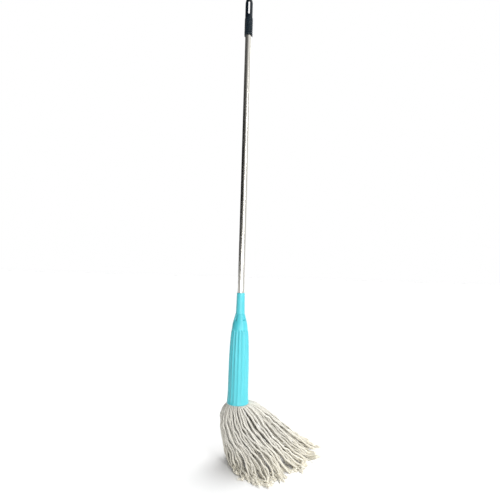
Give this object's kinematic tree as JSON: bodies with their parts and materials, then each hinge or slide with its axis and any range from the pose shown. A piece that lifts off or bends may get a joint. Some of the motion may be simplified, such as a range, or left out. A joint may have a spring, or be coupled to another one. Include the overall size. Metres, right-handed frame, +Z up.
{
  "type": "string mop with wringer sleeve",
  "caption": "Self-wringing string mop: long steel pole with ribbed grip and hanging slot, fluted sleeve that slides down and turns over cotton yarn.",
  "frame": {"origin": "middle of the hanging slot in the end cap, on the pole's axis", "axes": "+Z up the pole's axis; the hanging slot goes through along Y; the yarn is swept towards +X"},
  "size_m": [0.3138, 0.2705, 1.381],
  "materials": {
    "black_plastic": "satin",
    "grip_rubber": "matte",
    "pole_steel": "satin",
    "spring_steel": "satin",
    "teal_plastic": "satin",
    "white_plastic": "satin",
    "black_rubber": "matte",
    "zinc_steel": "satin",
    "cotton": "matte"
  },
  "bodies": {
    "handle": {"hang_cap": "black_plastic", "grip_sleeve": "grip_rubber", "pole_tube": "pole_steel", "stop_ring": "spring_steel", "yarn_hub": "white_plastic", "hub_rivet": "zinc_steel", "pole_end_plug": "white_plastic", "hub_screw": "zinc_steel", "hub_washer": "zinc_steel", "binding_wire": "zinc_steel", "yarn_root": "cotton", "yarn_core": "cotton", "yarn_left": "cotton", "yarn_front": "cotton", "yarn_right": "cotton", "yarn_back": "cotton"},
    "slider": {"guide_bush": "white_plastic", "friction_ring": "black_rubber"},
    "wringer": {"wringer_sleeve": "teal_plastic", "bush_clip": "spring_steel"}
  },
  "joints": [
    {"name": "sleeve_slide", "type": "slide", "parent": "handle", "child": "slider", "axis": [0, 0, 1], "range_m": [-0.13, 0], "deforming": ["yarn_core", "yarn_left", "yarn_front", "yarn_right", "yarn_back"]},
    {"name": "sleeve_twist", "type": "hinge", "parent": "slider", "child": "wringer", "pos_m": [0, 0, -0.948], "axis": [0, 0, 1], "continuous": true}
  ]
}
